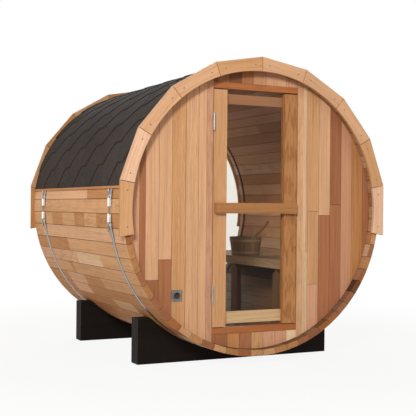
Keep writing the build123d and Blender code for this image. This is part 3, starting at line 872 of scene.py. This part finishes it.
# Ridge caps lie across the top, each over the one behind it
CAP_REACH = math.radians(8.2)
CAP_LENGTH = 0.333
CAP_EXPOSED = 0.152
CAP_COUNT, CAP_STEPS = 12, 8
CAP_LAY = LAY_RADIUS + 0.0084
CAP_FRONT_RISE, CAP_BACK_RISE = 0.0072, 0.0006
caps = Shell()
for number in range(CAP_COUNT):
    front = -ROOF_END + CAP_EXPOSED * number
    back = min(ROOF_END, front + CAP_LENGTH)
    # The caps are darkened like the courses near the ridge: painted shade, with a random spread
    shade = rng.uniform(0.52, 0.60)
    rows = []
    for i in range(CAP_STEPS + 1):
        angle = RIDGE + CAP_REACH * (1 - 2 * i / CAP_STEPS)
        row = []
        for lift in (TAB_THICKNESS, 0.0):
            for y, rise in ((front, CAP_FRONT_RISE), (back, CAP_BACK_RISE)):
                row.append(roof_point(1, angle, y, CAP_LAY + rise + lift))
        rows.append(row)
    caps.sheet(rows, tuple(c * shade for c in SHINGLE_COLOUR), 0)
caps.make("ridge_caps")


# Screws
HEAD_PROFILE = ((1.0, 0.0), (1.0, 0.10), (0.86, 0.18), (0.45, 0.18), (0.30, 0.02))
HEAD_SIDES = 12
BOARD_SCREW, VENT_SCREW = 0.0042, 0.0034
STAVE_SCREW_Y = 0.846
FASCIA_SCREW_RING, FASCIA_SCREW_TURNS = 0.878 * 1.002, (0.16, 0.84)
VENT_SCREW_OFFSET, VENT_PLATE = 0.026, 0.002


def screw_heads(name, heads, radius, material):
    """Small countersunk heads. Each head is its centre and the direction it faces, and the profile
    is shares of its radius, out from its axis and up from its seat."""
    verts, faces = [], []
    count = HEAD_SIDES
    for centre, facing in heads:
        out = Vector(facing).normalized()
        side = out.orthogonal().normalized()
        other = out.cross(side)
        first = len(verts)
        for share, rise in HEAD_PROFILE:
            for i in range(count):
                a = math.tau * i / count
                ring = side * math.cos(a) + other * math.sin(a)
                verts.append(Vector(centre) + ring * radius * share + out * radius * rise)
        verts.append(Vector(centre))
        for level in range(len(HEAD_PROFILE) - 1):
            for i in range(count):
                j = (i + 1) % count
                a = first + level * count
                faces.append((a + i, a + j, a + count + j, a + count + i))
        last = first + (len(HEAD_PROFILE) - 1) * count
        for i in range(count):
            faces.append((last + i, last + (i + 1) % count, len(verts) - 1))
        faces.append(tuple(first + i for i in reversed(range(count))))
    mesh_piece(name, verts, faces, material, "cabin", "steel")


heads = []
for angle in stave_angles:
    if math.sin(angle) > math.sin(ROOF_START):
        continue
    _, radial = around(angle)
    for y in (-STAVE_SCREW_Y, STAVE_SCREW_Y):
        heads.append(((OUTER * radial[0], y, AXIS_Z + OUTER * radial[2]), radial))
screw_heads("stave_screws", heads, BOARD_SCREW, SCREW_STEEL)

heads = []
for end, facing in ((-FASCIA_FACE, -1), (FASCIA_FACE, 1)):
    for number in range(10):
        for turn in FASCIA_SCREW_TURNS:
            angle = FASCIA_FIRST + FASCIA_STEP * (number + turn)
            radius = FASCIA_SCREW_RING / math.cos(FASCIA_STEP * (turn - 0.5))
            heads.append((roof_point(1, angle, end, radius), (0, facing, 0)))
screw_heads("fascia_screws", heads, BOARD_SCREW, SCREW_STEEL)

heads = []
for across in (-VENT_SCREW_OFFSET, VENT_SCREW_OFFSET):
    for up in (-VENT_SCREW_OFFSET, VENT_SCREW_OFFSET):
        centre = (VENT[0] + across, WALL_FRONT - VENT_PLATE, AXIS_Z + VENT[1] + up)
        heads.append((centre, (0, -1, 0)))
screw_heads("vent_screws", heads, VENT_SCREW, HINGE_STEEL)


# CAD nodes that keep their own shape: a finish and, where ease isn't 0, eased edges
EASE_SEGMENTS, HANDLE_EASE_SEGMENTS = 2, 3
EASED_FROM = math.radians(40)


def finish_node(name, material, ease):
    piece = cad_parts[name]
    piece.data.materials.clear()
    piece.data.materials.append(material)
    if ease:
        rounding = piece.modifiers.new("eased_edges", "BEVEL")
        rounding.width = ease
        rounding.segments = HANDLE_EASE_SEGMENTS if name == "door_handle" else EASE_SEGMENTS
        rounding.limit_method = "ANGLE"
        rounding.angle_limit = EASED_FROM


# Cedar: the finish's name, tone, shade, axis and shift of the grain, figure, and the ease
CEDAR_NODES = {
    "door_jamb_left": ("jamb_left_cedar", "pink", 0.87, "Z", (3.1, 0.33, 0.86), 0.3, 0.0015),
    "door_jamb_right": ("jamb_right_cedar", "tan", 1.0, "Z", (5.2, -0.33, 0.90), 0.3, 0.0015),
    "door_head": ("head_cedar", "rust", 1.1, "X", (1.2, 0.85, -1.66), 0.4, 0.0015),
    "door_sill": ("sill_cedar", "rust", 1.05, "X", (2.7, 0.85, -0.16), 0.4, 0.0015),
    "door_stile_left": ("stile_left_cedar", "honey", 0.98, "Z", (7.4, 0.25, 0.88), 0.1, 0.002),
    "door_stile_right": ("stile_right_cedar", "amber", 0.90, "Z", (8.8, -0.25, 0.84), 0.7, 0.002),
    "door_handle": ("handle_cedar", "amber", 0.84, "X", (4.4, 0.9, -0.9), 0.25, 0.003),
    "eave_trims": ("eave_cedar", "amber", 1.0, "Y", (3.3, 0.9, -1.0), 0.3, 0.001),
    # The bench's and the ladle's low shades are their wood's tone darkened by painted shade for the dim
    # inside
    "bench_legs": ("bench_leg_wood", "honey", 0.36, "Z", (6.1, 0, 0.1), 0.3, 0.002),
    "bench_bearers": ("bench_bearer_wood", "honey", 0.4, "X", (6.9, 0, 0.1), 0.3, 0.002),
    "bench_front_rail": ("bench_rail_wood", "cream", 0.60, "Y", (2.9, 0, -0.5), 0.4, 0.002),
    "bench_slats": ("bench_slat_wood", "cream", 0.50, "Y", (1.9, 0, -0.5), 0.3, 0.002),
    "ladle": ("ladle_wood", "honey", 0.62, "X", (1.4, 0, 0.1), 0.3, 0.001),
}
for node, (name, tone, shade, axis, shift, figure, ease) in CEDAR_NODES.items():
    finish_node(node, wood(name, tone_colour(tone, shade), axis, shift, figure=figure), ease)

OTHER_NODES = {
    "door_glass": (DOOR_GLASS, 0.0),
    "rear_window": (REAR_GLASS, 0.0),
    "rear_window_seal": (SEAL_RUBBER, 0.0),
    "hinge_frame_leaves": (HINGE_STEEL, 0.0),
    "hinge_door_leaves": (HINGE_STEEL, 0.0),
    "vent_plate": (DULL_STEEL, 0.0004),
    "front_band": (STEEL, 0.0),
    "rear_band": (STEEL, 0.0),
    "tension_rods": (ZINC, 0.0006),
    "front_cradle": (BLACK_TIMBER, 0.003),
    "rear_cradle": (BLACK_TIMBER, 0.003),
}
for node, (material, ease) in OTHER_NODES.items():
    finish_node(node, material, ease)


# Bucket of staves with two hoops and a base
BUCKET_STAVES, BUCKET_WALL, BUCKET_BASE, BUCKET_TAPER = 18, 0.011, 0.012, 0.019
BUCKET_JOINT = 0.012
HOOP_STEPS, HOOP_HEIGHT, HOOP_OUT, HOOP_IN = 36, 0.016, 0.0012, 0.002
LOW_HOOP, HIGH_HOOP = 0.014, 0.034
bucket_low, bucket_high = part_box("bucket")
bucket_centre = (bucket_low + bucket_high) / 2


def bucket_radius(z):
    """The bucket's outside radius at a height."""
    top_radius = (bucket_high.x - bucket_low.x) / 2
    return top_radius - BUCKET_TAPER * (bucket_high.z - z) / (bucket_high.z - bucket_low.z)


def bucket_point(angle, depth, z):
    radius = bucket_radius(z) - depth
    return Vector((bucket_centre.x + radius * math.cos(angle), bucket_centre.y + radius * math.sin(angle), z))


def bucket_piece(start, stop, outer, inner, low, high):
    """The lower and upper outline of a piece: two angles, two depths from the outside, two heights."""
    corners = ((start, outer), (stop, outer), (stop, inner), (start, inner))
    return [[bucket_point(angle, depth, z) for angle, depth in corners] for z in (low, high)]


bucket = Boards()
for number in range(BUCKET_STAVES):
    start, stop = (math.tau * (number + k) / BUCKET_STAVES for k in (BUCKET_JOINT, 1 - BUCKET_JOINT))
    outlines = bucket_piece(start, stop, 0, BUCKET_WALL, bucket_low.z, bucket_high.z)
    # The staves' low shades are the wood's tone darkened by painted shade for the dim inside
    bucket.block(*outlines, tone_colour("cream", rng.uniform(0.34, 0.44)), 0.2)
for bottom in (bucket_low.z + LOW_HOOP, bucket_high.z - HIGH_HOOP):
    for step in range(HOOP_STEPS):
        start, stop = (math.tau * (step + k) / HOOP_STEPS for k in (0, 1))
        outlines = bucket_piece(start, stop, -HOOP_OUT, HOOP_IN, bottom, bottom + HOOP_HEIGHT)
        bucket.block(*outlines, tone_colour("cream", 0.62), 0.0)
base_outline = [
    [bucket_point(math.tau * i / HOOP_STEPS, BUCKET_WALL, z) for i in range(HOOP_STEPS)]
    for z in (bucket_low.z, bucket_low.z + BUCKET_BASE)
]
bucket.block(*base_outline, tone_colour("honey", 0.8), 0.2)
bucket.make("bucket_staves", CEDAR, "cabin", "bucket_wood", "bucket")


# Screen inside the vent's hole
SCREEN_SIDES, SCREEN_GAP, SCREEN_DEPTHS = 24, 0.0004, (0.016, 0.017)
screen_outline = circle_loop(VENT, VENT_HOLE - SCREEN_GAP, SCREEN_SIDES)
screen_verts = []
for depth in SCREEN_DEPTHS:
    screen_verts += [Vector((x, WALL_FRONT + depth, AXIS_Z + z)) for x, z in screen_outline]
front_ring = list(range(SCREEN_SIDES))
back_ring = [SCREEN_SIDES + i for i in front_ring]
screen_faces = [tuple(front_ring), tuple(reversed(back_ring))]
for i in front_ring:
    j = (i + 1) % SCREEN_SIDES
    screen_faces.append((i, back_ring[i], back_ring[j], j))
mesh_piece("vent_screen", screen_verts, screen_faces, VENT_SCREEN, "cabin", "steel")


# Door rails behind the glass: the upper one is darker
LOW_RAIL, HIGH_RAIL, RAIL_EASE = 0.073, 0.061, 0.001
rail_low, rail_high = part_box("door_rails")
RAIL_PLACE = frame_matrix((0, rail_high.y, 0), (1, 0, 0), (0, 0, 1), (0, -1, 0))
rails = Boards()
for bottom, top, tone, figure in (
    (rail_low.z, rail_low.z + LOW_RAIL, tone_colour("cream", 0.92), 0.25),
    (rail_high.z - HIGH_RAIL, rail_high.z, tone_colour("salmon", 0.72), 0.1),
):
    loop = [(rail_low.x, bottom), (rail_high.x, bottom), (rail_high.x, top), (rail_low.x, top)]
    rails.add(loop, RAIL_PLACE, rail_high.y - rail_low.y, tone, None, RAIL_EASE, "X", figure=figure)
rails.make("door_rail_boards", CEDAR, "door", "door_cedar", "door_rails")


# Floor, light and camera
FLOOR_SIZE = 40.0
FLOOR_DARK, FLOOR_LIGHT = (0.56, 0.54, 0.51), (0.59, 0.57, 0.54)
WHITE_FROM, WHITE_TO, WHITE_NEAR = 1.6, 3.4, 0.90
WHITE = (1.0, 1.0, 1.0)
LIGHT_COLOUR, SKY_COLOUR, SKY_STRENGTH = (1.0, 0.985, 0.965), (1.0, 0.955, 0.89), 0.42


def floor_material():
    """A pale floor that the camera sees as nearly white, and as white away from the sauna."""
    tree = Tree("pale_floor")
    place = tree.object_place()
    base = tree.ramp(tree.noise(place, 1.5, 2.0), [(0.3, FLOOR_DARK), (0.7, FLOOR_LIGHT)])
    plain = tree.node("BsdfDiffuse", {"Color": base})
    white = tree.node("Emission", {"Color": WHITE, "Strength": 1.0})
    distance = tree.node("VectorMath", {0: place}, operation="LENGTH").outputs["Value"]
    fade = tree.between(distance, WHITE_FROM, WHITE_TO, WHITE_NEAR, 1.0)
    share = tree.math("MULTIPLY", tree.background_share(), fade)
    mixed = tree.node("MixShader", {0: share, 1: plain.outputs[0], 2: white.outputs[0]})
    return tree.finish(mixed.outputs[0])


def floor():
    mesh = bpy.data.meshes.new("floor")
    corners = [(x * FLOOR_SIZE, y * FLOOR_SIZE, 0) for x, y in ((-1, -1), (1, -1), (1, 1), (-1, 1))]
    mesh.from_pydata(corners, [], [(0, 1, 2, 3)])
    mesh.materials.append(floor_material())
    made = bpy.data.objects.new("floor", mesh)
    bpy.context.scene.collection.objects.link(made)


def area_light(name, place, target, size, power):
    data = bpy.data.lights.new(name, "AREA")
    data.shape = "DISK"
    data.size = size
    data.energy = power
    data.color = LIGHT_COLOUR
    made = bpy.data.objects.new(name, data)
    made.location = place
    made.rotation_euler = (Vector(target) - Vector(place)).to_track_quat("-Z", "Y").to_euler()
    bpy.context.scene.collection.objects.link(made)


def world_light():
    """White where the camera sees it, and a warm dimmer light on everything else."""
    tree = Tree("studio", "worlds")
    seen = tree.background_share()
    tint = tree.mix(seen, SKY_COLOUR, WHITE)
    sky = tree.node("Background", {"Color": tint, "Strength": tree.grey(seen, SKY_STRENGTH, 1.0)})
    bpy.context.scene.world = tree.finish(sky.outputs[0], "OutputWorld")


floor()
world_light()
area_light("key_light", (-4.7, -6.7, 4.0), (0, 0, 0.9), 1.5, 445)
area_light("side_light", (-7.0, 1.2, 3.8), (0, 0, 0.9), 3.0, 95)
area_light("fill_light", (4.5, -5.5, 3.5), (0, 0, 1.0), 4.0, 45)
area_light("back_light", (1.5, 5.5, 4.0), (0, 0, 1.0), 4.0, 200)

CAMERA_PLACE = (-2.7764, -5.7611, 0.970)
YAW, PITCH, ROLL = 0.4631, -0.0014, 0.0095
FOCAL_PIXELS, IMAGE_PIXELS, SENSOR = 906.8, 416, 36.0
right = Vector((math.cos(YAW), -math.sin(YAW), 0))
ahead = Vector((math.sin(YAW) * math.cos(PITCH), math.cos(YAW) * math.cos(PITCH), math.sin(PITCH)))
above = right.cross(ahead)
rolled_right = right * math.cos(ROLL) + above * math.sin(ROLL)
rolled_up = above * math.cos(ROLL) - right * math.sin(ROLL)
lens = bpy.data.cameras.new("camera")
lens.sensor_width = SENSOR
lens.lens = FOCAL_PIXELS / IMAGE_PIXELS * SENSOR
camera = bpy.data.objects.new("camera", lens)
bpy.context.scene.collection.objects.link(camera)
camera.matrix_world = frame_matrix(CAMERA_PLACE, rolled_right, rolled_up, -ahead)
bpy.context.scene.camera = camera
bpy.context.scene.view_settings.view_transform = "Standard"
